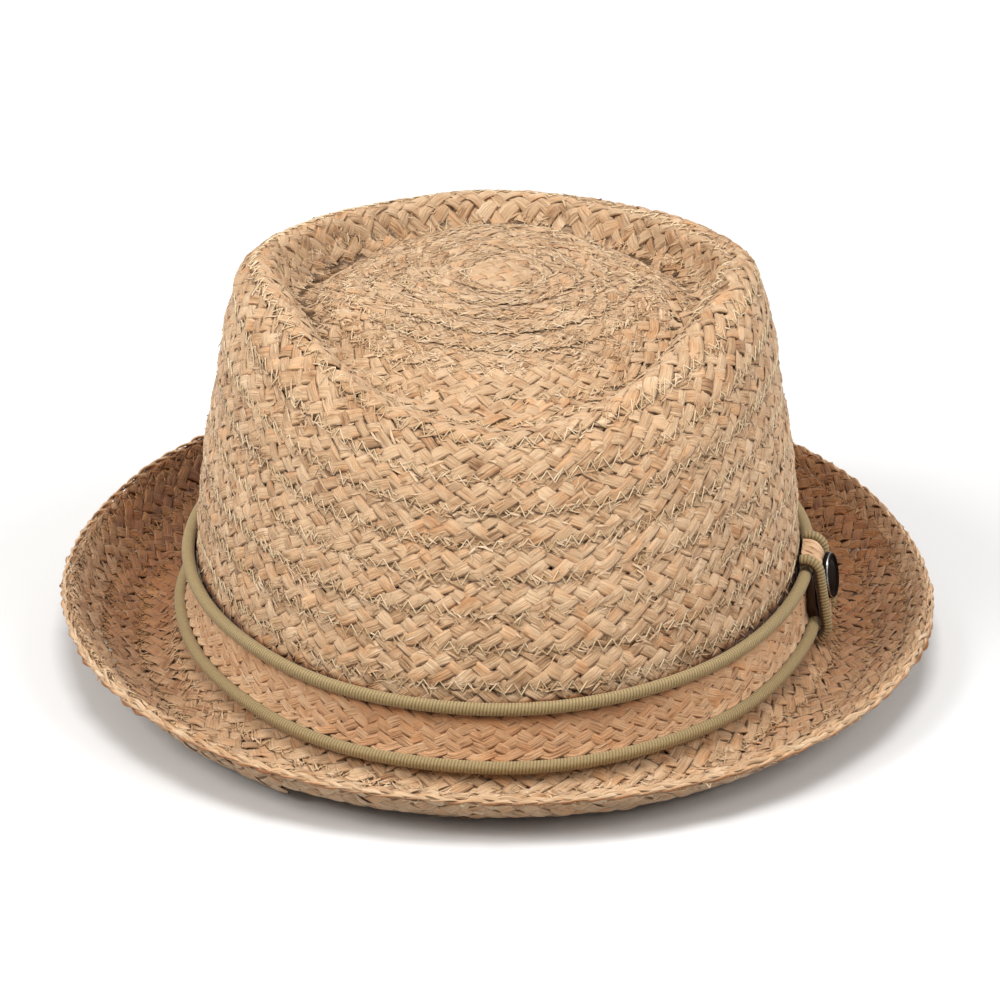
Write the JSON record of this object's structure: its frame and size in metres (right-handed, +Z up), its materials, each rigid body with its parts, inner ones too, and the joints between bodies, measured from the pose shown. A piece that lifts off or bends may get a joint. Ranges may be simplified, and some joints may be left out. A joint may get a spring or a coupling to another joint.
{
  "type": "porkpie hat",
  "caption": "Narrow-brimmed straw porkpie hat with a diamond-shaped dented crown, corded braid band and riveted side loop.",
  "frame": {"origin": "on the surface that the hat rests on, under the middle of the brim", "axes": "+Z up through the crown, -Y to the front of the hat, +X to the wearer's left, where the loop is"},
  "size_m": [0.2351, 0.2716, 0.1019],
  "materials": {
    "straw": "natural raffia braid, dry and fibrous",
    "strap": "smooth raffia braid",
    "cord": "ribbed olive cord",
    "gunmetal": "dark plated with a bright worn rim"
  },
  "bodies": {
    "root": {"hat_body": "straw", "hat_band": "strap", "band_piping_lower": "cord", "band_piping_upper": "cord", "keeper_strap": "strap", "keeper_piping_front": "cord", "keeper_piping_rear": "cord", "rivet": "gunmetal"}
  },
  "joints": []
}
